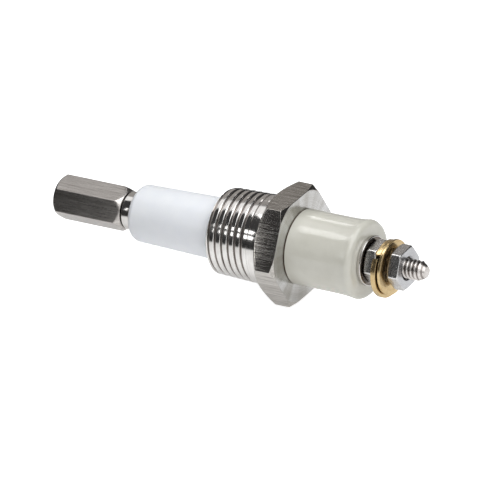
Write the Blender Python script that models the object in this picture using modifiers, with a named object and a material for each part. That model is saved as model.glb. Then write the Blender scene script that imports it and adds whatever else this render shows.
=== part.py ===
"""Liquid level electrode fitting: an insulated stud carried through a threaded hexagon body.

The fitting lies along +X. Its origin is on the axis, at the face of the hexagon that meets the port.
The wet end, with the coupling for the electrode rod, points along -X, and the wiring terminal along +X.
Sizes are metres. Angles are degrees about the axis, from +Y towards +Z.
"""
import math

import bmesh
import bpy
from mathutils import Matrix

# Fits
SEAT_GAP = 0.00015            # between faces that bear on each other
FIT_GAP = 0.0002              # all round a stud, neck or spigot in its bore
CUT_SPARE = 0.001             # how far a cutter runs past the face it opens

# Body, with its tapered pipe thread towards the port
HEX_FLATS = 0.0254
HEX_LENGTH = 0.0062
HEX_PORT_BREAK = 0.00216      # from a corner in to the circle where the port side's chamfer starts
HEX_PORT_CHAMFER = 38.0       # angle of that chamfer from the end face
HEX_CAP_BREAK = 0.00136
HEX_CAP_CHAMFER = 26.0
HEX_TURN = 9.0                # angle of one corner
SHOULDER_DIAMETER = 0.0217
SHOULDER_LENGTH = 0.0031
THREAD_SMALL_DIAMETER = 0.0207
THREAD_LENGTH = 0.01155
THREAD_TAPER = 1 / 16         # growth of the diameter along the axis
THREAD_LEAD_CHAMFER = 0.0005
MOUTH_CHAMFER = 0.0004

# Lower insulator, the white sleeve that reaches into the vessel
LOWER_EXPOSED = 0.02395
LOWER_TIP_DIAMETER = 0.01375
LOWER_ROOT_DIAMETER = 0.0149
LOWER_TIP_ROUND = 0.0017
LOWER_SEAT_DEPTH = 0.0060     # from the hexagon down to where the sealing cone starts
NECK_WALL = 0.0014            # of the sleeve that lines the hexagon

# Upper insulator, and the gasket it stands on
UPPER_LENGTH = 0.01711
UPPER_BASE_DIAMETER = 0.0181
UPPER_RIM_DIAMETER = 0.0189
UPPER_FLARE_POWER = 3         # how late the waist opens out to the rim
UPPER_RIM_ROUND = 0.0014
SPIGOT_WALL = 0.0032          # of the spigot that stands in the body's counterbore
SPIGOT_LENGTH = 0.0030
SPIGOT_SPARE = 0.0004         # left under the spigot, so the gasket carries the load
GASKET_DIAMETER = 0.0176
GASKET_THICKNESS = 0.00045

# Electrode stud
SHANK_DIAMETER = 0.00635
TERMINAL_DIAMETER = 0.00483
SHANK_END_CHAMFER = 0.0006
TERMINAL_TIP_DIAMETER = 0.0027
TERMINAL_TIP_TAPER = 0.0015   # length of the tapered end
STUD_STEP_DEPTH = 0.0040      # from the upper insulator's end down to the stud's step
STUD_ENGAGEMENT = 0.0090      # how far the shank is screwed into the coupling
STUD_PROTRUSION = 0.0050      # of the tip beyond the terminal nut

# Wet end
COLLAR_DIAMETER = 0.0091
COLLAR_LENGTH = 0.0027
COLLAR_EDGE = 0.0003
COUPLING_FLATS = 0.009525
COUPLING_LENGTH = 0.0185
COUPLING_BREAK = 0.0009
COUPLING_ROD_CHAMFER = 45.0
COUPLING_COLLAR_CHAMFER = 58.0
COUPLING_TURN = 23.5

# Clamping and wiring hardware
CLAMP_WASHER_DIAMETER = 0.0120
CLAMP_WASHER_THICKNESS = 0.0009
WASHER_EDGE = 0.00015
NUT_FLATS = 0.009525
NUT_THICKNESS = 0.00305
NUT_BREAK = 0.0008
NUT_EDGE_BREAK = 0.0003       # on the outer face of the terminal nut
NUT_CHAMFER = 30.0
JAM_NUT_TURN = 12.0
TERMINAL_NUT_TURN = 11.0
TERMINAL_NUT_SLACK = 0.0007   # the nut stands this far off the washer
LOCK_WASHER_DIAMETER = 0.0138
LOCK_WASHER_BORE = 0.0072
LOCK_WASHER_THICKNESS = 0.00125
LOCK_WASHER_RISE = 0.00035    # from one cut end of the coil to the other
LOCK_WASHER_SPLIT = 138.7     # angle of the cut
LOCK_WASHER_CUT = 9.5         # width of the cut, as an angle
FLAT_WASHER_DIAMETER = 0.0133
FLAT_WASHER_BORE = 0.0062
FLAT_WASHER_THICKNESS = 0.0007
WASHER_LEAN = 24.0            # which way the loose washers hang, from straight down towards -Y

# Facets
LARGE_STEPS = 48
SMALL_STEPS = 36
ROUND_STEPS = 5
FLARE_STEPS = 6

# Places along the axis, from the hexagon out to the terminal
GASKET_BASE = HEX_LENGTH + SEAT_GAP
GASKET_TOP = GASKET_BASE + GASKET_THICKNESS
UPPER_BASE = GASKET_TOP + SEAT_GAP
UPPER_TOP = UPPER_BASE + UPPER_LENGTH
SPIGOT_END = UPPER_BASE - SPIGOT_LENGTH
COUNTERBORE_FLOOR = SPIGOT_END - SPIGOT_SPARE
CLAMP_WASHER_BASE = UPPER_TOP + SEAT_GAP
JAM_NUT_BASE = CLAMP_WASHER_BASE + CLAMP_WASHER_THICKNESS + SEAT_GAP
LOCK_WASHER_BASE = JAM_NUT_BASE + NUT_THICKNESS + SEAT_GAP
FLAT_WASHER_BASE = LOCK_WASHER_BASE + LOCK_WASHER_THICKNESS + LOCK_WASHER_RISE + SEAT_GAP
TERMINAL_NUT_BASE = FLAT_WASHER_BASE + FLAT_WASHER_THICKNESS + TERMINAL_NUT_SLACK
STUD_TIP = TERMINAL_NUT_BASE + NUT_THICKNESS + STUD_PROTRUSION
STUD_STEP = UPPER_TOP - STUD_STEP_DEPTH

# Places along the axis, from the hexagon out to the wet end
BODY_END = -(SHOULDER_LENGTH + THREAD_LENGTH)
LOWER_SEAT = -LOWER_SEAT_DEPTH
LOWER_TIP = BODY_END - LOWER_EXPOSED
COLLAR_TOP = LOWER_TIP - SEAT_GAP
COLLAR_BASE = COLLAR_TOP - COLLAR_LENGTH
COUPLING_TOP = COLLAR_BASE - SEAT_GAP
COUPLING_BASE = COUPLING_TOP - COUPLING_LENGTH
STUD_END = COUPLING_TOP - STUD_ENGAGEMENT

# Radii that follow from the fits
SHANK_BORE = SHANK_DIAMETER / 2 + FIT_GAP
TERMINAL_BORE = TERMINAL_DIAMETER / 2 + FIT_GAP
NECK_RADIUS = SHANK_BORE + NECK_WALL
SPIGOT_RADIUS = SHANK_BORE + SPIGOT_WALL
COUNTERBORE = SPIGOT_RADIUS + FIT_GAP
LOWER_ROOT = LOWER_ROOT_DIAMETER / 2
THREAD_LARGE_DIAMETER = THREAD_SMALL_DIAMETER + THREAD_LENGTH * THREAD_TAPER

STEEL = ((0.62, 0.60, 0.57), 0.28, 1.0)
DARK_STEEL = ((0.42, 0.40, 0.38), 0.35, 1.0)
BRASS = ((0.78, 0.60, 0.30), 0.25, 1.0)
WHITE_PLASTIC = ((0.88, 0.90, 0.93), 0.38, 0.0)
CREAM_GLAZE = ((0.80, 0.79, 0.73), 0.22, 0.0)
GREY_FIBRE = ((0.30, 0.31, 0.31), 0.80, 0.0)


def clear_scene():
    for item in list(bpy.data.objects):
        bpy.data.objects.remove(item, do_unlink=True)


def add_collection(name):
    group = bpy.data.collections.new(name)
    bpy.context.scene.collection.children.link(group)
    return group


clear_scene()
PARTS = add_collection("level_electrode_fitting")
CUTTERS = add_collection("cutters")
AXIS = bpy.data.objects.new("fitting_axis", None)
AXIS.rotation_euler = (0, math.pi / 2, 0)     # local +Z, which shapes are turned about, becomes +X
PARTS.objects.link(AXIS)


def place(name, mesh, group):
    item = bpy.data.objects.new(name, mesh)
    group.objects.link(item)
    item.parent = AXIS
    if group is CUTTERS:
        item.hide_render = True
        item.display_type = "WIRE"
    return item


def local_angle(angle):
    """The angle in an object's own frame of an angle about the axis from +Y towards +Z."""
    return math.radians(angle + 90)


def turned(name, profile, group, steps, ring=False):
    """Turn (radius, place) points about the axis. They run down the outer side, then up any bore."""
    count = len(profile)
    edges = [(i, i + 1) for i in range(count - 1)]
    if ring:
        edges.append((count - 1, 0))
    mesh = bpy.data.meshes.new(name)
    mesh.from_pydata([(radius, 0, along) for radius, along in profile], edges, [])
    item = place(name, mesh, group)
    turn = item.modifiers.new("turn", "SCREW")
    turn.steps = steps
    turn.render_steps = steps
    turn.use_merge_vertices = True
    turn.merge_threshold = 0.000001
    return item


def hexagon(name, flats, base, top, turn):
    """A hexagonal bar that cuts a turned blank to its flats."""
    shape = bmesh.new()
    corner = flats / math.sqrt(3)
    bmesh.ops.create_cone(
        shape, cap_ends=True, segments=6, radius1=corner, radius2=corner, depth=top - base + 2 * CUT_SPARE)
    shape.verts.ensure_lookup_table()
    first = shape.verts[0].co
    spin = local_angle(turn) - math.atan2(first.y, first.x)
    bmesh.ops.rotate(shape, verts=shape.verts, matrix=Matrix.Rotation(spin, 3, "Z"))
    bmesh.ops.translate(shape, verts=shape.verts, vec=(0, 0, (base + top) / 2))
    mesh = bpy.data.meshes.new(name)
    shape.to_mesh(mesh)
    shape.free()
    return place(name, mesh, CUTTERS)


def combine(item, other, operation):
    step = item.modifiers.new(other.name, "BOOLEAN")
    step.operation = operation
    step.object = other


def rounded(centre_radius, centre_along, size, start, end):
    """Points round a corner, from one angle to another, in the plane of a profile."""
    turns = [math.radians(start + (end - start) * i / ROUND_STEPS) for i in range(ROUND_STEPS + 1)]
    return [(centre_radius + size * math.cos(t), centre_along + size * math.sin(t)) for t in turns]


def chamfered_blank(flats, base, top, base_chamfer, top_chamfer):
    """Profile of the turned blank that gives a hexagon its chamfered corners.

    A chamfer is how far it reaches in from the corners, and its angle from the end face.
    """
    corner = flats / math.sqrt(3)
    wide = corner + CUT_SPARE
    base_break, base_angle = base_chamfer
    top_break, top_angle = top_chamfer
    base_slope = (base_break + CUT_SPARE) * math.tan(math.radians(base_angle))
    top_slope = (top_break + CUT_SPARE) * math.tan(math.radians(top_angle))
    return [
        (0, top), (corner - top_break, top), (wide, top - top_slope),
        (wide, base + base_slope), (corner - base_break, base), (0, base),
    ]


def finish(item, look):
    """Apply the modifiers, shade the round faces smooth and give the piece its material."""
    bpy.context.view_layer.update()
    shaped = item.evaluated_get(bpy.context.evaluated_depsgraph_get())
    mesh = bpy.data.meshes.new_from_object(shaped)
    item.modifiers.clear()
    item.data = mesh
    mesh.name = item.name
    mesh.shade_smooth()
    mesh.set_sharp_from_angle(angle=math.radians(30))
    colour, roughness, metallic = look
    material = bpy.data.materials.new(item.name)
    material.use_nodes = True
    shader = material.node_tree.nodes["Principled BSDF"]
    shader.inputs["Base Color"].default_value = (*colour, 1)
    shader.inputs["Roughness"].default_value = roughness
    shader.inputs["Metallic"].default_value = metallic
    mesh.materials.clear()
    mesh.materials.append(material)


def ring_profile(outer, inner, base, top, edge=0.0):
    """Profile of a plain ring, with its outer edges broken by a small chamfer."""
    points = [(outer - edge, top), (outer, top - edge), (outer, base + edge), (outer - edge, base)]
    if edge == 0:
        points = [(outer, top), (outer, base)]
    return points + [(inner, base), (inner, top)]


def make_body():
    body = turned(
        "body",
        chamfered_blank(
            HEX_FLATS, 0, HEX_LENGTH, (HEX_PORT_BREAK, HEX_PORT_CHAMFER), (HEX_CAP_BREAK, HEX_CAP_CHAMFER)),
        PARTS, LARGE_STEPS)
    combine(body, hexagon("body_flats", HEX_FLATS, 0, HEX_LENGTH, HEX_TURN), "INTERSECT")
    shoulder = SHOULDER_DIAMETER / 2
    large = THREAD_LARGE_DIAMETER / 2
    small = THREAD_SMALL_DIAMETER / 2
    lead = small + THREAD_LEAD_CHAMFER * THREAD_TAPER / 2
    barrel = turned("body_barrel", [
        (0, HEX_LENGTH / 2),
        (shoulder, HEX_LENGTH / 2),
        (shoulder, -SHOULDER_LENGTH + shoulder - large),
        (large, -SHOULDER_LENGTH),
        (lead, BODY_END + THREAD_LEAD_CHAMFER),
        (lead - THREAD_LEAD_CHAMFER, BODY_END),
        (0, BODY_END),
    ], CUTTERS, LARGE_STEPS)
    combine(body, barrel, "UNION")
    wide = LOWER_ROOT + FIT_GAP
    neck = NECK_RADIUS + FIT_GAP
    bore = turned("body_bore", [
        (0, HEX_LENGTH + CUT_SPARE),
        (COUNTERBORE, HEX_LENGTH + CUT_SPARE),
        (COUNTERBORE, COUNTERBORE_FLOOR),
        (neck, COUNTERBORE_FLOOR),
        (neck, LOWER_SEAT + LOWER_ROOT - NECK_RADIUS),
        (wide, LOWER_SEAT),
        (wide, BODY_END + MOUTH_CHAMFER),
        (wide + MOUTH_CHAMFER + CUT_SPARE, BODY_END - CUT_SPARE),
        (0, BODY_END - CUT_SPARE),
    ], CUTTERS, LARGE_STEPS)
    combine(body, bore, "DIFFERENCE")
    finish(body, STEEL)


def make_lower_insulator():
    tip = LOWER_TIP_DIAMETER / 2
    profile = [
        (NECK_RADIUS, COUNTERBORE_FLOOR),
        (NECK_RADIUS, LOWER_SEAT + LOWER_ROOT - NECK_RADIUS),
        (LOWER_ROOT, LOWER_SEAT),
        (LOWER_ROOT, BODY_END),
    ]
    profile += rounded(tip - LOWER_TIP_ROUND, LOWER_TIP + LOWER_TIP_ROUND, LOWER_TIP_ROUND, 0, -90)
    profile += [(SHANK_BORE, LOWER_TIP), (SHANK_BORE, COUNTERBORE_FLOOR)]
    finish(turned("lower_insulator", profile, PARTS, LARGE_STEPS, ring=True), WHITE_PLASTIC)


def make_upper_insulator():
    base = UPPER_BASE_DIAMETER / 2
    rim = UPPER_RIM_DIAMETER / 2
    profile = rounded(rim - UPPER_RIM_ROUND, UPPER_TOP - UPPER_RIM_ROUND, UPPER_RIM_ROUND, 90, 0)
    flare = UPPER_LENGTH - UPPER_RIM_ROUND
    for i in range(1, FLARE_STEPS + 1):
        rest = 1 - i / FLARE_STEPS
        profile.append((base + (rim - base) * rest ** UPPER_FLARE_POWER, UPPER_BASE + flare * rest))
    profile += [(SPIGOT_RADIUS, UPPER_BASE), (SPIGOT_RADIUS, SPIGOT_END)]
    profile += [(SHANK_BORE, SPIGOT_END), (SHANK_BORE, UPPER_TOP)]
    finish(turned("upper_insulator", profile, PARTS, LARGE_STEPS, ring=True), CREAM_GLAZE)


def make_seat_gasket():
    profile = ring_profile(GASKET_DIAMETER / 2, COUNTERBORE, GASKET_BASE, GASKET_TOP)
    finish(turned("seat_gasket", profile, PARTS, SMALL_STEPS, ring=True), GREY_FIBRE)


def make_electrode_stud():
    shank = SHANK_DIAMETER / 2
    tip = TERMINAL_DIAMETER / 2
    stud = turned("electrode_stud", [
        (0, STUD_TIP),
        (TERMINAL_TIP_DIAMETER / 2, STUD_TIP),
        (tip, STUD_TIP - TERMINAL_TIP_TAPER),
        (tip, STUD_STEP),
        (shank, STUD_STEP),
        (shank, STUD_END + SHANK_END_CHAMFER),
        (shank - SHANK_END_CHAMFER, STUD_END),
        (0, STUD_END),
    ], PARTS, SMALL_STEPS)
    finish(stud, STEEL)


def make_lower_collar():
    profile = ring_profile(COLLAR_DIAMETER / 2, SHANK_BORE, COLLAR_BASE, COLLAR_TOP, COLLAR_EDGE)
    finish(turned("lower_collar", profile, PARTS, SMALL_STEPS, ring=True), STEEL)


def make_rod_coupling():
    coupling = turned(
        "rod_coupling",
        chamfered_blank(
            COUPLING_FLATS, COUPLING_BASE, COUPLING_TOP,
            (COUPLING_BREAK, COUPLING_ROD_CHAMFER), (COUPLING_BREAK, COUPLING_COLLAR_CHAMFER)),
        PARTS, SMALL_STEPS)
    flats = hexagon("rod_coupling_flats", COUPLING_FLATS, COUPLING_BASE, COUPLING_TOP, COUPLING_TURN)
    combine(coupling, flats, "INTERSECT")
    bore = turned(
        "rod_coupling_bore", bore_profile(SHANK_BORE, COUPLING_BASE, COUPLING_TOP), CUTTERS, SMALL_STEPS)
    combine(coupling, bore, "DIFFERENCE")
    finish(coupling, DARK_STEEL)


def bore_profile(radius, base, top):
    """Profile of a plain drill that runs past both faces."""
    start = base - CUT_SPARE
    end = top + CUT_SPARE
    return [(0, end), (radius, end), (radius, start), (0, start)]


def make_nut(name, base, turn, outer_break):
    top = base + NUT_THICKNESS
    blank = chamfered_blank(NUT_FLATS, base, top, (NUT_BREAK, NUT_CHAMFER), (outer_break, NUT_CHAMFER))
    nut = turned(name, blank, PARTS, SMALL_STEPS)
    combine(nut, hexagon(name + "_flats", NUT_FLATS, base, top, turn), "INTERSECT")
    bore = turned(name + "_bore", bore_profile(TERMINAL_BORE, base, top), CUTTERS, SMALL_STEPS)
    combine(nut, bore, "DIFFERENCE")
    finish(nut, STEEL)


def make_clamp_washer():
    top = CLAMP_WASHER_BASE + CLAMP_WASHER_THICKNESS
    profile = ring_profile(CLAMP_WASHER_DIAMETER / 2, TERMINAL_BORE, CLAMP_WASHER_BASE, top, WASHER_EDGE)
    finish(turned("clamp_washer", profile, PARTS, SMALL_STEPS, ring=True), STEEL)


def hang(washer, bore):
    """Let a washer too large for the stud hang on it."""
    drop = bore / 2 - TERMINAL_BORE
    lean = math.radians(WASHER_LEAN)
    washer.location = (drop * math.cos(lean), -drop * math.sin(lean), 0)


def make_terminal_flat_washer():
    profile = ring_profile(
        FLAT_WASHER_DIAMETER / 2, FLAT_WASHER_BORE / 2, FLAT_WASHER_BASE,
        FLAT_WASHER_BASE + FLAT_WASHER_THICKNESS, WASHER_EDGE)
    washer = turned("terminal_flat_washer", profile, PARTS, SMALL_STEPS, ring=True)
    hang(washer, FLAT_WASHER_BORE)
    finish(washer, BRASS)


def make_terminal_lock_washer():
    """One turn of square wire whose cut ends stand apart along the axis."""
    inner = LOCK_WASHER_BORE / 2
    outer = LOCK_WASHER_DIAMETER / 2
    base = LOCK_WASHER_BASE
    top = base + LOCK_WASHER_THICKNESS
    shape = bmesh.new()
    corners = [(inner, base), (outer, base), (outer, top), (inner, top)]
    section = shape.faces.new([shape.verts.new((radius, 0, along)) for radius, along in corners])
    start = local_angle(LOCK_WASHER_SPLIT + LOCK_WASHER_CUT / 2)
    bmesh.ops.rotate(shape, verts=shape.verts, matrix=Matrix.Rotation(start, 3, "Z"))
    bmesh.ops.spin(
        shape, geom=[section, *section.edges, *section.verts], axis=(0, 0, 1), cent=(0, 0, 0),
        angle=math.radians(360 - LOCK_WASHER_CUT), steps=SMALL_STEPS,
        dvec=(0, 0, LOCK_WASHER_RISE / SMALL_STEPS))
    bmesh.ops.recalc_face_normals(shape, faces=shape.faces)
    mesh = bpy.data.meshes.new("terminal_lock_washer")
    shape.to_mesh(mesh)
    shape.free()
    washer = place("terminal_lock_washer", mesh, PARTS)
    hang(washer, LOCK_WASHER_BORE)
    finish(washer, BRASS)


make_body()
make_lower_insulator()
make_seat_gasket()
make_upper_insulator()
make_electrode_stud()
make_lower_collar()
make_rod_coupling()
make_clamp_washer()
make_nut("jam_nut", JAM_NUT_BASE, JAM_NUT_TURN, NUT_BREAK)
make_terminal_lock_washer()
make_terminal_flat_washer()
make_nut("terminal_nut", TERMINAL_NUT_BASE, TERMINAL_NUT_TURN, NUT_EDGE_BREAK)
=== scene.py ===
"""Looks of the liquid level electrode fitting: cut threads, eased edges, finishes, studio and camera.

Every piece stands for one CAD node and lies where that node lies. Sizes are millimetres until a mesh is
made. Angles are degrees about the X axis, from +Y towards +Z. A profile is a closed loop of points, each
a radius and a place along X.
"""
import math

import bmesh
import bpy
import numpy as np
from mathutils import Matrix, Vector


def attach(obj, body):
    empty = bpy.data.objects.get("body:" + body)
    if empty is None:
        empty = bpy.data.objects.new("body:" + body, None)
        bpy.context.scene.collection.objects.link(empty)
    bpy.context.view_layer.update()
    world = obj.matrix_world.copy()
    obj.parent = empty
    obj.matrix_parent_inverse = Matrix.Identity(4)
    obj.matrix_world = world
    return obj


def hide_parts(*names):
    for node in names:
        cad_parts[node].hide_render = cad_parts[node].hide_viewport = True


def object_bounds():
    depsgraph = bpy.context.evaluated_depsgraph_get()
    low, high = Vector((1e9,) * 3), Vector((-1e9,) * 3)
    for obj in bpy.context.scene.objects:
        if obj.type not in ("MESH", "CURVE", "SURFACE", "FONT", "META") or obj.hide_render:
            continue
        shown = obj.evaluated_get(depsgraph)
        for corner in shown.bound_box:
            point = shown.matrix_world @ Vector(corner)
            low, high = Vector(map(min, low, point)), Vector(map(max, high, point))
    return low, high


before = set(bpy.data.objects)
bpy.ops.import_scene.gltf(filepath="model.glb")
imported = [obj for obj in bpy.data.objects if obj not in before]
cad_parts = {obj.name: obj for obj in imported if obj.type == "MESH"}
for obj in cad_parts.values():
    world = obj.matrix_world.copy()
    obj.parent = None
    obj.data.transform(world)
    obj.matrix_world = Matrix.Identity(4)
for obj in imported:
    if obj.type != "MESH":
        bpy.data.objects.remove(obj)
CAD_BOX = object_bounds()

MM = 0.001
TAU = 2 * math.pi
INCH = 25.4

# Meshes: columns round a piece, the turn above which an edge stays sharp, and the distance in metres at
# which points are one
ROUND = 192
ROUND_MIDDLE = 128
ROUND_SMALL = 96
SHARP_ANGLE = 38.0
MERGE_DISTANCE = 0.0000002
EASE_STEPS = 4
EASE_SHARE = 0.45             # how much of a side one eased corner may take
STRAIGHT = -0.97              # corners straighter than this are left alone

# Camera, as read from the photograph: pixels to the millimetre, and the pixel that shows the origin
CAMERA_AZIMUTH = 31.4
CAMERA_ELEVATION = 20.2
IMAGE_PIXELS = 500
PIXELS_PER_MM = 4.28
ORIGIN_PIXEL = (280.72, 241.55)
CAMERA_LENS = 800.0
SENSOR = 36.0
CAMERA_REACH = 20

# Floor, in metres: its own glow, and the stretch across the picture, from the origin, over which its
# reflection falls into shade. Each step is a share of that stretch, with the floor's grey and the share of
# the glow there.
FLOOR_GAP = 0.0008
FLOOR_SIZE = 0.9
FLOOR_CELLS = 8
FLOOR_GLOW = 0.85
FLOOR_LOSSES = [("Is Diffuse Ray", 0.75), ("Is Glossy Ray", 0.45)]     # how much less it lights the fitting
FLOOR_FALL = (-0.085, -0.020)
FLOOR_STEPS = [(0.0, 0.04, 0.03), (0.28, 0.64, 0.92), (1.0, 0.80, 1.0)]

WORLD_COLOUR = (0.055, 0.055, 0.056, 1)
COOL_LIGHT = (0.965, 0.985, 1.0)
WARM_LIGHT = (1.0, 0.95, 0.90)

# Hexagons: width across flats, ends, a chamfer at each end (how far it cuts the corners, and its angle to
# the axis), the place of a corner, the bore, the ease of the rims, the bore's countersink, and the blend
# of edges
COUNTERBORE = 6.775
SOCKET_BORE = 3.375
NUT_BORE = 2.615              # the loose washers hang at this radius too
SMALL_FLATS = 3 / 8 * INCH
EDGE_BLEND_SHARE = 0.6        # blend of the edges along the axis, as a share of the chamfers' blend
BODY_HEX = dict(
    flats=INCH, x0=0.0, x1=6.2, chamfer0=(2.16, 38.0), chamfer1=(1.36, 26.0), turn=9.0, bore=COUNTERBORE,
    ease=0.10, sink=0.25, blend=0.12)
COUPLING_HEX = dict(
    flats=SMALL_FLATS, x0=-60.1, x1=-41.6, chamfer0=(0.9, 45.0), chamfer1=(0.9, 58.0), turn=23.5,
    bore=SOCKET_BORE, ease=0.10, sink=0.35, blend=0.3)
JAM_NUT_HEX = dict(
    flats=SMALL_FLATS, x0=25.26, x1=28.31, chamfer0=(0.8, 30.0), chamfer1=(0.8, 30.0), turn=12.0,
    bore=NUT_BORE, ease=0.14, sink=0.3, blend=0.6)
TERMINAL_NUT_HEX = dict(
    flats=SMALL_FLATS, x0=31.61, x1=34.66, chamfer0=(0.8, 30.0), chamfer1=(0.3, 30.0), turn=11.0,
    bore=NUT_BORE, ease=0.18, sink=0.35, blend=0.6)

# Body: the shoulder under the hexagon and the tapered thread
SHOULDER_RADIUS = 10.85
SHOULDER_INSIDE = 9.4
SHOULDER_END = -3.1
SHOULDER_TOP = 1.0            # reaches into the hexagon
SHOULDER_CHAMFER = (0.16, 0.2)
SHOULDER_EASE = 0.05
BODY_END = -14.65
BODY_BORE = 7.65
PIPE_OVERLAP = 0.02
PIPE_SMALL_RADIUS = 10.35
PIPE_TAPER = 1 / 32           # growth of the radius along the axis
PIPE_PITCH = INCH / 14
PIPE_DEPTH = 0.56
PIPE_FADE_END = 0.15
PIPE_FADE = 0.7
PIPE_LEAD = 0.5

# White sleeve: bore, wet end with its rounding, the straight part in the body, the cone and the neck
SLEEVE_BORE = 3.375
SLEEVE_END = -38.6
SLEEVE_RADIUS = 6.875
SLEEVE_ROUND = 1.7
SLEEVE_BODY_RADIUS = 7.45
SLEEVE_CONE_START = -6.0
SLEEVE_CONE_END = -3.325
SLEEVE_NECK = 4.775
SLEEVE_TOP = 3.55

# Cream insulator: a spigot in the body, a foot, and a wall that opens late to the rounded rim
CREAM_BORE = 3.375
CREAM_SPIGOT = 6.575
CREAM_SPIGOT_END = 3.95
CREAM_BASE = 6.36
CREAM_TOP = 24.06
CREAM_FOOT = 9.05
CREAM_FOOT_EASE = 0.12
CREAM_RIM = 9.45
CREAM_ROUND = 1.4
BEAD_POWER = 7                # how late the wall opens out to its rim

# Rings: inner and outer radius, and the two ends
GASKET_RING = (6.775, 8.92, 6.21, 6.35)
GASKET_EASE = 0.04
CLAMP_RING = (2.6, 6.0, 24.08, 25.11)
CLAMP_EASE = 0.22
CLAMP_BRIGHT_ROWS = 14        # rows of its loop that are rim and faces, before the inside, which is painted dark as painted reflection and shade
CLAMP_PAINTED_SHADE_ROWS = 6
FLAT_RING = (3.1, 6.65, 30.21, 30.91)
FLAT_EASE = 0.14

# Split washer: its section, and one coiled turn that stops short at the cut
LOCK_RING = (3.6, 6.9, 0.0, 1.25)
LOCK_EASE = 0.16
LOCK_START = 28.60
LOCK_RISE = 0.35
LOCK_CUT = 138.7
LOCK_CUT_WIDTH = 9.5
LOCK_STEPS = 120
WASHER_LEAN = 24.0            # the loose washers hang this far from straight down

# Stud and its terminal thread
AXIS_HOLE = 0.02              # a hair of a hole keeps a turned loop off the axis
STUD_END = -50.6
STUD_STEP = 20.06
STUD_TIP = 39.66
STUD_EASE = 0.05
SHANK_RADIUS = 3.175
SHANK_CHAMFER = 0.6
CORE_RADIUS = 1.8
CORE_END = 26.0
TERMINAL_START = STUD_STEP + 0.5
TERMINAL_RADIUS = 2.415
TERMINAL_TIP_RADIUS = 1.35
TERMINAL_TIP_TAPER = 1.5
TERMINAL_PITCH = INCH / 24
TERMINAL_DEPTH = 0.5

# Collar
COLLAR_PROFILE = [
    (3.3, -41.45), (4.25, -41.45), (4.55, -41.15), (4.55, -39.05), (4.25, -38.62), (3.3, -38.62)]
COLLAR_EASE = 0.14

# Tapped socket of the rod coupling. Its thread is a ring, whose outer wall lies inside the steel.
SOCKET_MOUTH = -59.7
SOCKET_FLOOR = STUD_END - 0.1
SOCKET_RADIUS = 3.37
SOCKET_PITCH = INCH / 20
SOCKET_DEPTH = 0.55
SOCKET_WALL = 3.9

# Shape of a thread over one pitch: how far along it, and the height from root to crest.
# The pipe thread has the wide flat crests and the narrow roots of the photograph.
PIPE_SHAPE = [
    (0.00, 0.00), (0.08, 0.00), (0.11, 0.07), (0.18, 0.50), (0.25, 0.90), (0.285, 0.98), (0.33, 1.00),
    (0.44, 1.00), (0.55, 1.00), (0.66, 1.00), (0.77, 1.00), (0.815, 0.98), (0.85, 0.90), (0.91, 0.50),
    (0.97, 0.07),
]
ROLLED_SHAPE = [
    (0.00, 0.00), (0.06, 0.02), (0.12, 0.14), (0.22, 0.45), (0.30, 0.72), (0.38, 0.92), (0.45, 0.99),
    (0.53, 1.00), (0.61, 0.99), (0.68, 0.92), (0.76, 0.72), (0.84, 0.45), (0.94, 0.14),
]
ROOT_TOP = 0.55               # what lies wholly below this height counts as root, painted dark as shade on the body and stud


# Meshes

def circle(count):
    return np.arange(count) * TAU / count


def tangent_of(angle):
    return math.tan(math.radians(angle))


def arc(start, end, count):
    """Sine and cosine pairs over a range of angles."""
    return [(math.sin(math.radians(t)), math.cos(math.radians(t))) for t in np.linspace(start, end, count)]


def make_object(name, vertices, faces, kinds):
    """A smooth mesh object from millimetre vertices. kinds is each face's material index."""
    mesh = bpy.data.meshes.new(name)
    mesh.from_pydata([tuple(v * MM for v in point) for point in vertices], [], faces)
    mesh.polygons.foreach_set("material_index", kinds)
    work = bmesh.new()
    work.from_mesh(mesh)
    bmesh.ops.remove_doubles(work, verts=work.verts, dist=MERGE_DISTANCE)
    bmesh.ops.recalc_face_normals(work, faces=work.faces)
    work.to_mesh(mesh)
    work.free()
    mesh.shade_smooth()
    mesh.set_sharp_from_angle(angle=math.radians(SHARP_ANGLE))
    item = bpy.data.objects.new(name, mesh)
    bpy.context.scene.collection.objects.link(item)
    return item


class Shell:
    """Vertices and faces of one piece, gathered shell by shell."""

    def __init__(self):
        self.vertices = []
        self.faces = []
        self.kinds = []

    def add(self, vertices, faces, kinds):
        start = len(self.vertices)
        self.vertices.extend(vertices)
        self.faces.extend([tuple(start + i for i in face) for face in faces])
        self.kinds.extend(kinds)

    def add_rows(self, along, radius, angles, kinds, centre=(0.0, 0.0)):
        """A ring from rows of points: places along the axis and radii, each rows by columns."""
        rows, columns = radius.shape
        across = centre[0] + radius * np.cos(angles)[None, :]
        up = centre[1] + radius * np.sin(angles)[None, :]
        points = np.stack([along, across, up], axis=-1).reshape(-1, 3)
        faces = []
        face_kinds = []
        for j in range(rows):
            row = j * columns
            below = (j + 1) % rows * columns
            for i in range(columns):
                side = (i + 1) % columns
                faces.append((row + i, row + side, below + side, below + i))
                face_kinds.append(kinds[j])
        self.add(points.tolist(), faces, face_kinds)

    def add_turned(self, profile, count=ROUND, ease=0.0, kind=0, centre=(0.0, 0.0), kinds=None):
        """Turn a profile, with its corners eased."""
        loop = eased(profile, ease)
        radius = np.repeat(np.array([p[0] for p in loop])[:, None], count, axis=1)
        along = np.repeat(np.array([p[1] for p in loop])[:, None], count, axis=1)
        self.add_rows(along, radius, circle(count), kinds or [kind] * len(loop), centre)

    def build(self, name):
        return make_object(name, self.vertices, self.faces, self.kinds)


def ring(inner, outer, x0, x1):
    """Profile of a plain ring."""
    return [(inner, x0), (outer, x0), (outer, x1), (inner, x1)]


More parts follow.
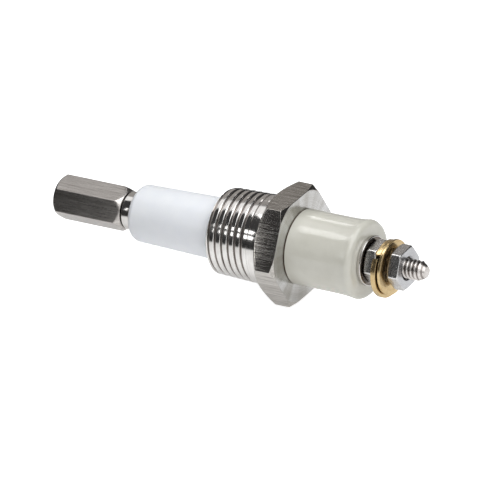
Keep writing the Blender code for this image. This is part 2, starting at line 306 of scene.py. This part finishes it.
def eased(profile, size):
    """Round each corner of a closed loop by up to size, with a short curve."""
    if size == 0:
        return profile
    points = [np.array(p, dtype=float) for p in profile]
    loop = []
    for i, corner in enumerate(points):
        back = points[i - 1] - corner
        ahead = points[(i + 1) % len(points)] - corner
        back_length = np.linalg.norm(back)
        ahead_length = np.linalg.norm(ahead)
        reach = min(size, EASE_SHARE * back_length, EASE_SHARE * ahead_length)
        bend = np.dot(back, ahead) / (back_length * ahead_length)
        if bend < STRAIGHT:
            loop.append(tuple(corner))
            continue
        start = corner + back / back_length * reach
        end = corner + ahead / ahead_length * reach
        for k in range(EASE_STEPS + 1):
            t = k / EASE_STEPS
            loop.append(tuple((1 - t) ** 2 * start + 2 * t * (1 - t) * corner + t ** 2 * end))
    return loop


def soft_min(a, b, blend):
    """The smaller of two, with the change from one to the other rounded."""
    mix = np.clip(0.5 + 0.5 * (b - a) / blend, 0, 1)
    return b * (1 - mix) + a * mix - blend * mix * (1 - mix)


def hexagon_angles(turn):
    """Columns round a hexagon, closer together at its corners."""
    steps = np.concatenate([
        np.linspace(0, 3, 9), np.linspace(4.2, 55.8, 24), np.linspace(57, 60, 9)[:-1]])
    return np.radians(np.concatenate([turn + 60 * k + steps for k in range(6)]))


def hexagon_outline(angles, flats, turn, blend):
    """Radius of a hexagon with rounded edges, at each angle."""
    outline = None
    least = 0.2               # cosine below which a flat is out of reach
    out_of_reach = 99.0
    for k in range(6):
        swing = np.cos(angles - math.radians(turn + 30 + 60 * k))
        flat = np.where(swing > least, flats / 2 / np.maximum(swing, least), out_of_reach)
        outline = flat if outline is None else soft_min(outline, flat, blend)
    return outline


def hexagon_places(x0, x1, chamfer0, chamfer1, ease):
    """Places along a hexagon's sides, and how far each is drawn in by the eased rims."""
    margin = 0.25
    most = (x1 - x0) * 0.45
    reach0 = min(chamfer0[0] * tangent_of(chamfer0[1]) + margin, most)
    reach1 = min(chamfer1[0] * tangent_of(chamfer1[1]) + margin, most)
    middle = np.concatenate([
        np.linspace(x0 + ease, x0 + reach0, 16)[1:], np.linspace(x0 + reach0, x1 - reach1, 8)[1:-1],
        np.linspace(x1 - reach1, x1 - ease, 16)[:-1]])
    places = [x0 + ease * (1 - sine) for sine, cosine in arc(90, 0, 5)]
    insets = [ease * (1 - cosine) for sine, cosine in arc(90, 0, 5)]
    places.extend(middle)
    insets.extend([0.0] * len(middle))
    places.extend(x1 - ease * (1 - sine) for sine, cosine in arc(0, 90, 5))
    insets.extend(ease * (1 - cosine) for sine, cosine in arc(0, 90, 5))
    return places, insets


def add_hexagon(shell, flats, x0, x1, chamfer0, chamfer1, turn, bore, ease, sink, blend):
    """A chamfered hexagon with a bore. Its flats take material 0, and its faces and bore material 1."""
    angles = hexagon_angles(turn)
    corner = flats / math.sqrt(3)
    outline = hexagon_outline(angles, flats, turn, blend * EDGE_BLEND_SHARE)
    places, insets = hexagon_places(x0, x1, chamfer0, chamfer1, ease)
    radius = []
    for place, inset in zip(places, insets):
        cone0 = corner - chamfer0[0] + (place - x0) / tangent_of(chamfer0[1])
        cone1 = corner - chamfer1[0] + (x1 - place) / tangent_of(chamfer1[1])
        row = soft_min(soft_min(outline, np.full_like(outline, cone0), blend), cone1, blend)
        radius.append(row - inset)
    sides = len(places)
    inner = bore + sink
    for share in (0.25, 0.5, 0.75, 1.0):
        radius.append(radius[sides - 1] * (1 - share) + inner * share)
        places.append(x1)
    for place in (x1 - sink, (x0 + x1) / 2, x0 + sink):
        radius.append(np.full_like(outline, bore))
        places.append(place)
    for share in (1.0, 0.75, 0.5, 0.25):
        radius.append(radius[0] * (1 - share) + inner * share)
        places.append(x0)
    along = [np.full_like(outline, place) for place in places]
    kinds = [0] * (sides - 1) + [1] * (len(places) - sides + 1)
    shell.add_rows(np.array(along), np.array(radius), angles, kinds)


def add_thread(shell, x0, x1, pitch, shape, surface, wall, count, kind, root_kind):
    """A cut thread between two places. surface gives the radius from a place and the thread's height.

    The rows follow the helix, so they meet one pitch further on after each turn. wall is the radius of
    the ring's other side, or 0 for a solid rod.
    """
    per_turn = len(shape)
    turns = int(math.ceil((x1 - x0) / pitch)) + 1
    angles = circle(count)
    vertices = []
    low = list(range(count))
    high = list(range(count, 2 * count))
    index = {}

    def add_point(place, radius, angle):
        vertices.append((place, radius * math.cos(angle), radius * math.sin(angle)))
        return len(vertices) - 1

    def point(row, column):
        if column == count:
            row, column = row + per_turn, 0
        if (row, column) in index:
            return index[row, column]
        turn, step = divmod(row, per_turn)
        place = x0 + (turn + shape[step][0] + column / count) * pitch
        if place <= x0:
            found = low[column]
        elif place >= x1:
            found = high[column]
        else:
            found = add_point(place, surface(place, shape[step][1]), angles[column])
        index[row, column] = found
        return found

    for place in (x0, x1):
        for angle in angles:
            add_point(place, surface(place, 1.0), angle)
    faces = []
    kinds = []
    for row in range(-per_turn, turns * per_turn):
        heights = shape[row % per_turn][1], shape[(row + 1) % per_turn][1]
        # Root rows take root_kind, which on the body and stud is the painted root shade
        row_kind = kind if max(heights) > ROOT_TOP else root_kind
        for column in range(count):
            corners = [
                point(row, column), point(row, column + 1),
                point(row + 1, column + 1), point(row + 1, column)]
            face = [v for k, v in enumerate(corners) if v not in corners[:k]]
            if len(face) > 2:
                faces.append(tuple(face))
                kinds.append(row_kind)
    if wall:
        first, last = [[add_point(place, wall, angle) for angle in angles] for place in (x0, x1)]
        for i in range(count):
            side = (i + 1) % count
            faces.append((low[i], first[i], first[side], low[side]))
            faces.append((first[i], last[i], last[side], first[side]))
            faces.append((last[i], high[i], high[side], last[side]))
    else:
        faces.append(tuple(low))
        faces.append(tuple(high))
    kinds += [kind] * (len(faces) - len(kinds))
    shell.add(vertices, faces, kinds)


# Materials

def new_material(name):
    material = bpy.data.materials.new(name)
    material.use_nodes = True
    nodes = material.node_tree.nodes
    return material, nodes, material.node_tree.links, nodes["Principled BSDF"]


def add_node(nodes, kind, **inputs):
    node = nodes.new(kind)
    for name, value in inputs.items():
        node.inputs[name].default_value = value
    return node


def add_math(nodes, kind, operation):
    node = nodes.new(kind)
    node.operation = operation
    return node


def pattern(nodes, links, lay, scale, detail):
    """Noise laid along the axis, round it, in spokes or evenly. scale is features to the millimetre."""
    place = nodes.new("ShaderNodeTexCoord").outputs["Object"]
    if lay in ("turned", "fan"):
        parts = nodes.new("ShaderNodeSeparateXYZ")
        links.new(place, parts.inputs[0])
        flat = nodes.new("ShaderNodeCombineXYZ")
        links.new(parts.outputs["Y"], flat.inputs["Y"])
        links.new(parts.outputs["Z"], flat.inputs["Z"])
        if lay == "fan":
            spokes = add_math(nodes, "ShaderNodeVectorMath", "NORMALIZE")
            links.new(flat.outputs[0], spokes.inputs[0])
            place = spokes.outputs[0]
        else:
            length = add_math(nodes, "ShaderNodeVectorMath", "LENGTH")
            links.new(flat.outputs[0], length.inputs[0])
            rings = nodes.new("ShaderNodeCombineXYZ")
            links.new(parts.outputs["X"], rings.inputs["X"])
            links.new(length.outputs["Value"], rings.inputs["Y"])
            place = rings.outputs[0]
    stretch = nodes.new("ShaderNodeMapping")
    size = scale if lay == "fan" else scale / MM
    drawn_out = 0.03 if lay == "drawn" else 1
    stretch.inputs["Scale"].default_value = (size * drawn_out, size, size)
    links.new(place, stretch.inputs["Vector"])
    noise = add_node(nodes, "ShaderNodeTexNoise", Scale=1.0, Detail=detail, Roughness=0.6)
    links.new(stretch.outputs[0], noise.inputs["Vector"])
    return noise.outputs["Fac"]


def spread(nodes, links, source, low, high, start=0.3, end=0.7):
    """Map the middle of a noise to a range of numbers."""
    node = add_node(nodes, "ShaderNodeMapRange")
    node.inputs["From Min"].default_value = start
    node.inputs["From Max"].default_value = end
    node.inputs["To Min"].default_value = low
    node.inputs["To Max"].default_value = high
    links.new(source, node.inputs["Value"])
    return node.outputs["Result"]


def tint(nodes, links, source, stops):
    """Colours along a number, each stop a place and a colour."""
    ramp = nodes.new("ShaderNodeValToRGB")
    points = ramp.color_ramp.elements
    while len(points) < len(stops):
        points.new(0.5)
    for point, (place, colour) in zip(points, stops):
        point.position = place
        point.color = (*colour, 1)
    links.new(source, ramp.inputs["Fac"])
    return ramp.outputs["Color"]


def bump(nodes, links, shader, source, depth):
    """Relief of the given depth in millimetres."""
    node = add_node(nodes, "ShaderNodeBump", Strength=1.0, Distance=depth * MM)
    links.new(source, node.inputs["Height"])
    links.new(node.outputs["Normal"], shader.inputs["Normal"])


def metal(
        name, dark, light, lay, scale, roughness, relief,
        anisotropy=0.0, stain=None, cloud=("even", 0.35)):
    """Bare metal with tool marks: streaks set its relief and gloss, and soft stain-like tone its colour;
    laid in spokes, that tone is painted reflection.
    """
    material, nodes, links, shader = new_material(name)
    shader.inputs["Metallic"].default_value = 1.0
    streaks = pattern(nodes, links, lay, scale, 4.0)
    stains_and_fan_reflection = pattern(nodes, links, *cloud, 3.0)
    half = add_math(nodes, "ShaderNodeMath", "MULTIPLY")
    half.inputs[1].default_value = 0.5
    links.new(streaks, half.inputs[0])
    both = add_math(nodes, "ShaderNodeMath", "MULTIPLY_ADD")
    both.inputs[1].default_value = 0.5
    links.new(stains_and_fan_reflection, both.inputs[0])
    links.new(half.outputs[0], both.inputs[2])
    stops = [(0.36, dark), (0.62, light)]
    if stain:
        stops = [(0.30, stain)] + stops
    links.new(tint(nodes, links, both.outputs[0], stops), shader.inputs["Base Color"])
    links.new(spread(nodes, links, streaks, *roughness), shader.inputs["Roughness"])
    if anisotropy:
        shader.inputs["Anisotropic"].default_value = anisotropy
        tangent = nodes.new("ShaderNodeTangent")
        tangent.direction_type = "RADIAL"
        tangent.axis = "X"
        links.new(tangent.outputs[0], shader.inputs["Tangent"])
    bump(nodes, links, shader, streaks, relief)
    return material


def fluoropolymer(name):
    """White sleeve: satin, with fine turning marks, and light goes a little way in."""
    material, nodes, links, shader = new_material(name)
    cloud = pattern(nodes, links, "even", 0.25, 4.0)
    stops = [(0.3, (0.86, 0.88, 0.92)), (0.7, (0.90, 0.915, 0.95))]
    links.new(tint(nodes, links, cloud, stops), shader.inputs["Base Color"])
    marks = pattern(nodes, links, "turned", 5.0, 3.0)
    links.new(spread(nodes, links, marks, 0.34, 0.46), shader.inputs["Roughness"])
    shader.inputs["Subsurface Weight"].default_value = 0.2
    shader.inputs["Subsurface Radius"].default_value = (0.0007, 0.0007, 0.0008)
    shader.inputs["Subsurface Scale"].default_value = 1.0
    bump(nodes, links, shader, marks, 0.006)
    return material


def glaze(name):
    """Cream insulator: a glossy glaze, very slightly uneven."""
    material, nodes, links, shader = new_material(name)
    cloud = pattern(nodes, links, "even", 0.18, 5.0)
    stops = [(0.3, (0.60, 0.585, 0.515)), (0.7, (0.66, 0.645, 0.575))]
    links.new(tint(nodes, links, cloud, stops), shader.inputs["Base Color"])
    peel = pattern(nodes, links, "even", 1.2, 2.0)
    links.new(spread(nodes, links, peel, 0.16, 0.26), shader.inputs["Roughness"])
    shader.inputs["Coat Weight"].default_value = 0.35
    shader.inputs["Coat Roughness"].default_value = 0.06
    bump(nodes, links, shader, peel, 0.008)
    return material


def fibre(name):
    """Dark pressed fibre of the gasket."""
    material, nodes, links, shader = new_material(name)
    strands = pattern(nodes, links, "even", 6.0, 5.0)
    stops = [(0.3, (0.060, 0.038, 0.025)), (0.7, (0.15, 0.10, 0.07))]
    links.new(tint(nodes, links, strands, stops), shader.inputs["Base Color"])
    links.new(spread(nodes, links, strands, 0.7, 0.95), shader.inputs["Roughness"])
    bump(nodes, links, shader, strands, 0.03)
    return material


POLISHED = metal(
    "polished_steel", (0.58, 0.56, 0.54), (0.70, 0.685, 0.665), "turned", 9.0, (0.07, 0.14), 0.0006)
# Turned end faces: their colour cloud lies in spokes, a painted reflection of the turned face's light and
# dark sectors
FACED_PAINTED_FAN = metal(
    "faced_steel_painted_fan_reflection", (0.34, 0.32, 0.29), (0.66, 0.66, 0.66), "turned", 14.0, (0.16, 0.28), 0.003,
    anisotropy=0.75, cloud=("fan", 2.6))
DRAWN = metal(
    "drawn_steel", (0.23, 0.21, 0.19), (0.60, 0.58, 0.55), "drawn", 9.0, (0.06, 0.15), 0.004,
    cloud=("drawn", 3.4))
BAR = metal(
    "bar_steel", (0.36, 0.335, 0.315), (0.60, 0.57, 0.545), "drawn", 8.0, (0.24, 0.36), 0.008,
    cloud=("drawn", 2.6))
BRIGHT = metal(
    "bright_steel", (0.40, 0.39, 0.385), (0.66, 0.65, 0.645), "even", 3.0, (0.19, 0.32), 0.002)
STAMPED = metal(
    "stamped_steel", (0.50, 0.48, 0.46), (0.66, 0.64, 0.62), "turned", 6.0, (0.08, 0.18), 0.003)
THREADED = metal(
    "rolled_steel", (0.44, 0.41, 0.385), (0.70, 0.665, 0.64), "even", 3.0, (0.22, 0.36), 0.003)
# Painted shade: dark steel for the thread roots, standing for the shadow in the grooves
PAINTED_ROOT_SHADE = metal(
    "thread_root_painted_shade", (0.15, 0.13, 0.12), (0.36, 0.33, 0.31), "turned", 6.0, (0.22, 0.38), 0.004)
PLAIN = metal(
    "plain_steel", (0.40, 0.40, 0.41), (0.50, 0.50, 0.51), "turned", 8.0, (0.20, 0.32), 0.003)
# Painted reflection and shade: near-black steel for the clamp washer's right face and bore, as if mirroring
# the nut
PAINTED_REFLECTION_SHADE = metal(
    "steel_painted_reflection_and_shade", (0.07, 0.055, 0.045), (0.20, 0.175, 0.155), "turned", 6.0, (0.12, 0.24), 0.003)
BRASS = metal(
    "brass", (0.42, 0.295, 0.14), (0.64, 0.495, 0.275), "turned", 5.0, (0.18, 0.34), 0.003,
    stain=(0.26, 0.165, 0.07))
WHITE = fluoropolymer("white_fluoropolymer")
CREAM = glaze("cream_glaze")
FIBRE = fibre("gasket_fibre")


def dress(shell, node, body, slot, *materials):
    """Build a piece, give it its materials, and let it stand for its CAD node."""
    piece = shell.build(node + "_look")
    for material in materials:
        piece.data.materials.append(material)
    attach(piece, body)
    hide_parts(node)


# Pieces

def pipe_surface(place, height):
    """Radius of the tapered thread, which fades out at the shoulder and is chamfered at its start."""
    crest = PIPE_SMALL_RADIUS + (place - BODY_END) * PIPE_TAPER
    fade = min(1.0, max(0.0, (SHOULDER_END - PIPE_FADE_END - place) / PIPE_FADE))
    lead = PIPE_SMALL_RADIUS - PIPE_LEAD + max(place - BODY_END, 0.0)
    return min(crest - PIPE_DEPTH * (1 - height) * fade, lead)


def make_body():
    shell = Shell()
    add_hexagon(shell, **BODY_HEX)
    add_thread(
        shell, BODY_END, SHOULDER_END + PIPE_OVERLAP, PIPE_PITCH, PIPE_SHAPE, pipe_surface, BODY_BORE,
        ROUND, kind=2, root_kind=3)
    inset, rise = SHOULDER_CHAMFER
    shell.add_turned([
        (SHOULDER_INSIDE, SHOULDER_END), (SHOULDER_RADIUS - inset, SHOULDER_END),
        (SHOULDER_RADIUS, SHOULDER_END + rise), (SHOULDER_RADIUS, SHOULDER_TOP),
        (SHOULDER_INSIDE, SHOULDER_TOP)], ease=SHOULDER_EASE, kind=2)
    dress(shell, "body", "fitting", "body_steel", DRAWN, FACED_PAINTED_FAN, POLISHED, PAINTED_ROOT_SHADE)


def make_sleeve():
    end_radius = SLEEVE_RADIUS - SLEEVE_ROUND
    end_place = SLEEVE_END + SLEEVE_ROUND
    profile = [(SLEEVE_BORE, SLEEVE_TOP), (SLEEVE_BORE, SLEEVE_END), (end_radius, SLEEVE_END)]
    for sine, cosine in arc(0, 90, 13)[1:]:
        profile.append((end_radius + SLEEVE_ROUND * sine, end_place - SLEEVE_ROUND * cosine))
    profile += [
        (SLEEVE_BODY_RADIUS, BODY_END), (SLEEVE_BODY_RADIUS, SLEEVE_CONE_START),
        (SLEEVE_NECK, SLEEVE_CONE_END), (SLEEVE_NECK, SLEEVE_TOP)]
    shell = Shell()
    shell.add_turned(profile)
    dress(shell, "lower_insulator", "fitting", "white_insulator", WHITE)


def make_cream():
    profile = [
        (CREAM_BORE, CREAM_TOP), (CREAM_BORE, CREAM_SPIGOT_END), (CREAM_SPIGOT, CREAM_SPIGOT_END),
        (CREAM_SPIGOT, CREAM_BASE), (CREAM_FOOT - CREAM_FOOT_EASE, CREAM_BASE),
        (CREAM_FOOT, CREAM_BASE + CREAM_FOOT_EASE)]
    flare = CREAM_TOP - CREAM_BASE - CREAM_ROUND
    for t in np.linspace(0.02, 1, 40)[:-1]:
        profile.append((CREAM_FOOT + (CREAM_RIM - CREAM_FOOT) * t ** BEAD_POWER, CREAM_BASE + flare * t))
    for sine, cosine in arc(0, 90, 15):
        profile.append((
            CREAM_RIM - CREAM_ROUND + CREAM_ROUND * cosine, CREAM_TOP - CREAM_ROUND + CREAM_ROUND * sine))
    shell = Shell()
    shell.add_turned(profile)
    dress(shell, "upper_insulator", "fitting", "cream_insulator", CREAM)


def make_gasket():
    shell = Shell()
    shell.add_turned(ring(*GASKET_RING), ease=GASKET_EASE)
    dress(shell, "seat_gasket", "fitting", "gasket_fibre", FIBRE)


def terminal_surface(place, height):
    """Radius of the terminal thread, which tapers away at the tip."""
    slope = (TERMINAL_RADIUS - TERMINAL_TIP_RADIUS) / TERMINAL_TIP_TAPER
    taper = TERMINAL_TIP_RADIUS + (STUD_TIP - place) * slope
    crest = min(TERMINAL_RADIUS, taper)
    root = min(TERMINAL_RADIUS - TERMINAL_DEPTH, taper)
    return root + (crest - root) * height


def make_stud():
    shell = Shell()
    shell.add_turned([
        (AXIS_HOLE, STUD_END), (SHANK_RADIUS - SHANK_CHAMFER, STUD_END),
        (SHANK_RADIUS, STUD_END + SHANK_CHAMFER), (SHANK_RADIUS, STUD_STEP), (CORE_RADIUS, STUD_STEP),
        (CORE_RADIUS, CORE_END), (AXIS_HOLE, CORE_END)], count=ROUND_SMALL, ease=STUD_EASE)
    add_thread(
        shell, TERMINAL_START, STUD_TIP, TERMINAL_PITCH, ROLLED_SHAPE, terminal_surface, 0.0, ROUND_SMALL,
        kind=0, root_kind=1)
    dress(shell, "electrode_stud", "fitting", "stud_steel", THREADED, PAINTED_ROOT_SHADE)


def make_collar():
    shell = Shell()
    shell.add_turned(COLLAR_PROFILE, ease=COLLAR_EASE, count=ROUND_MIDDLE)
    dress(shell, "lower_collar", "fitting", "collar_steel", POLISHED)


def socket_surface(place, height):
    """Radius of the thread cut in the coupling's socket, which starts gently at the mouth."""
    start = min(1.0, (place - SOCKET_MOUTH) / SOCKET_PITCH)
    return SOCKET_RADIUS - SOCKET_DEPTH * height * start


def make_coupling():
    shell = Shell()
    add_hexagon(shell, **COUPLING_HEX)
    add_thread(
        shell, SOCKET_MOUTH, SOCKET_FLOOR, SOCKET_PITCH, ROLLED_SHAPE, socket_surface, SOCKET_WALL,
        ROUND_SMALL, kind=2, root_kind=2)
    dress(shell, "rod_coupling", "fitting", "coupling_steel", BAR, FACED_PAINTED_FAN, THREADED)


def make_clamp_washer():
    shell = Shell()
    # The inner rows take the painted reflection and shade
    kinds = [0] * CLAMP_BRIGHT_ROWS + [1] * CLAMP_PAINTED_SHADE_ROWS
    shell.add_turned(ring(*CLAMP_RING), ease=CLAMP_EASE, count=ROUND_MIDDLE, kinds=kinds)
    dress(shell, "clamp_washer", "fitting", "washer_steel", STAMPED, PAINTED_REFLECTION_SHADE)


def make_nut(node, body, sizes):
    shell = Shell()
    add_hexagon(shell, **sizes)
    dress(shell, node, body, "nut_steel", BRIGHT, PLAIN)


def hung(inner):
    """Centre of a loose washer that hangs on the stud by its hole."""
    lean = math.radians(WASHER_LEAN)
    drop = inner - NUT_BORE
    return -drop * math.sin(lean), -drop * math.cos(lean)


def make_lock_washer():
    centre = hung(LOCK_RING[0])
    section = eased(ring(*LOCK_RING), LOCK_EASE)
    count = len(section)
    points = []
    for k in range(LOCK_STEPS + 1):
        share = k / LOCK_STEPS
        angle = math.radians(LOCK_CUT + LOCK_CUT_WIDTH / 2 + share * (360 - LOCK_CUT_WIDTH))
        rise = LOCK_START + LOCK_RISE * share
        for radius, along in section:
            points.append((
                rise + along, centre[0] + radius * math.cos(angle), centre[1] + radius * math.sin(angle)))
    faces = []
    for k in range(LOCK_STEPS):
        row = k * count
        for i in range(count):
            side = (i + 1) % count
            faces.append((row + i, row + side, row + count + side, row + count + i))
    faces.append(tuple(range(count)))
    faces.append(tuple(LOCK_STEPS * count + i for i in range(count)))
    shell = Shell()
    shell.add(points, faces, [0] * len(faces))
    dress(shell, "terminal_lock_washer", "fitting", "washer_brass", BRASS)


def make_flat_washer():
    shell = Shell()
    shell.add_turned(ring(*FLAT_RING), ease=FLAT_EASE, centre=hung(FLAT_RING[0]))
    dress(shell, "terminal_flat_washer", "terminal_washer", "washer_brass", BRASS)


# Studio

def facing(direction):
    """A turn that points an area light's or camera's -Z along a direction."""
    return Vector(direction).to_track_quat("-Z", "Y")


def picture_right():
    azimuth = math.radians(CAMERA_AZIMUTH)
    return Vector((math.cos(azimuth), math.sin(azimuth), 0))


def add_card(name, place, target, width, height, radiance, colour=(1, 1, 1)):
    """A soft light of an even brightness, turned to a target. Sizes are metres."""
    data = bpy.data.lights.new(name, "AREA")
    data.shape = "RECTANGLE"
    data.size = width
    data.size_y = height
    data.energy = radiance * math.pi * width * height
    data.color = colour
    item = bpy.data.objects.new(name, data)
    item.location = place
    item.rotation_euler = facing(Vector(target) - Vector(place)).to_euler()
    item.visible_camera = False
    bpy.context.scene.collection.objects.link(item)


def floor_material():
    """White to look at. To reflections it is darker, and dark on the picture's left."""
    material, nodes, links, shader = new_material("pale_floor")
    shader.inputs["Roughness"].default_value = 0.9
    shader.inputs["Specular IOR Level"].default_value = 0.0
    rays = nodes.new("ShaderNodeLightPath")
    across = add_math(nodes, "ShaderNodeVectorMath", "DOT_PRODUCT")
    across.inputs[1].default_value = picture_right()
    links.new(nodes.new("ShaderNodeTexCoord").outputs["Object"], across.inputs[0])
    seen = add_math(nodes, "ShaderNodeMath", "MAXIMUM")
    links.new(spread(nodes, links, across.outputs["Value"], 0, 1, *FLOOR_FALL), seen.inputs[0])
    links.new(rays.outputs["Is Camera Ray"], seen.inputs[1])
    greys = [(place, (grey, grey, grey)) for place, grey, glow in FLOOR_STEPS]
    glows = [(place, (glow, glow, glow)) for place, grey, glow in FLOOR_STEPS]
    links.new(tint(nodes, links, seen.outputs[0], greys), shader.inputs["Base Color"])
    links.new(tint(nodes, links, seen.outputs[0], glows), shader.inputs["Emission Color"])
    strength = None
    for kind, loss in FLOOR_LOSSES:
        step = add_math(nodes, "ShaderNodeMath", "MULTIPLY_ADD")
        links.new(rays.outputs[kind], step.inputs[0])
        step.inputs[1].default_value = -loss * FLOOR_GLOW
        step.inputs[2].default_value = FLOOR_GLOW
        if strength is not None:
            links.new(strength, step.inputs[2])
        strength = step.outputs[0]
    links.new(strength, shader.inputs["Emission Strength"])
    return material


def make_floor():
    """A plain pale sheet just under the fitting."""
    low = CAD_BOX[0][2] - FLOOR_GAP
    row = FLOOR_CELLS + 1
    steps = np.linspace(-FLOOR_SIZE, FLOOR_SIZE, row)
    points = [(x, y, low) for y in steps for x in steps]
    faces = [
        (j * row + i, j * row + i + 1, (j + 1) * row + i + 1, (j + 1) * row + i)
        for j in range(FLOOR_CELLS) for i in range(FLOOR_CELLS)]
    mesh = bpy.data.meshes.new("floor")
    mesh.from_pydata(points, [], faces)
    mesh.materials.append(floor_material())
    floor = bpy.data.objects.new("floor", mesh)
    bpy.context.scene.collection.objects.link(floor)


def make_studio():
    """Broad cards for the general light, and small near ones for single highlights."""
    world = bpy.data.worlds.new("studio")
    world.use_nodes = True
    world.node_tree.nodes["Background"].inputs["Color"].default_value = WORLD_COLOUR
    scene = bpy.context.scene
    scene.world = world
    centre = (0, 0, 0)
    add_card("overhead", (-0.30, 0.02, 0.48), centre, 0.24, 0.42, 0.80)
    add_card("overhead_haze", (-0.30, 0.02, 0.54), centre, 0.34, 0.56, 0.36)
    add_card("key", (0.34, -0.12, 0.60), centre, 0.775, 0.775, 2.5, COOL_LIGHT)
    add_card("fill", (0.42, -0.52, 0.22), centre, 0.50, 0.40, 0.9)
    add_card("back", (-0.50, 0.62, 0.50), centre, 0.60, 0.80, 0.36, WARM_LIGHT)
    # The double line across the pipe thread
    add_card("strip_high", (-0.0573, -0.0845, 0.0480), (-0.0085, -0.0098, 0.0043), 0.0138, 0.0135, 2.8)
    add_card("strip_low", (-0.0573, -0.0928, 0.0275), (-0.0085, -0.0102, 0.0036), 0.0138, 0.0145, 2.8)
    # The streak along the cream insulator, the collar's highlight and the edges of the nuts
    add_card("gleam", (-0.0580, 0.0720, 0.1160), (0.0150, -0.0025, 0.0087), 0.0140, 0.0300, 3.5)
    add_card("collar", (-0.0889, -0.0845, 0.0353), (-0.0400, -0.0042, 0.0018), 0.0060, 0.0240, 2.0)
    add_card("edge", (-0.0189, -0.0236, 0.0890), (0.0300, -0.0036, 0.0040), 0.0240, 0.0500, 4.5)
    scene.view_settings.view_transform = "Standard"
    scene.view_settings.look = "None"


def make_camera():
    azimuth = math.radians(CAMERA_AZIMUTH)
    elevation = math.radians(CAMERA_ELEVATION)
    right = picture_right()
    level = math.cos(elevation)
    towards = Vector((math.sin(azimuth) * level, -math.cos(azimuth) * level, math.sin(elevation)))
    up = towards.cross(right)
    half = IMAGE_PIXELS / 2
    aim = (right * (half - ORIGIN_PIXEL[0]) + up * (ORIGIN_PIXEL[1] - half)) * (MM / PIXELS_PER_MM)
    distance = IMAGE_PIXELS / PIXELS_PER_MM * MM * CAMERA_LENS / SENSOR
    data = bpy.data.cameras.new("camera")
    data.lens = CAMERA_LENS
    data.sensor_width = SENSOR
    data.sensor_fit = "HORIZONTAL"
    data.clip_end = CAMERA_REACH
    camera = bpy.data.objects.new("camera", data)
    turn = facing(-towards).to_matrix().to_4x4()
    camera.matrix_world = Matrix.Translation(aim + towards * distance) @ turn
    bpy.context.scene.collection.objects.link(camera)
    bpy.context.scene.camera = camera


make_camera()
make_body()
make_sleeve()
make_cream()
make_gasket()
make_stud()
make_collar()
make_coupling()
make_clamp_washer()
make_nut("jam_nut", "fitting", JAM_NUT_HEX)
make_lock_washer()
make_flat_washer()
make_nut("terminal_nut", "terminal_nut", TERMINAL_NUT_HEX)
make_floor()
make_studio()
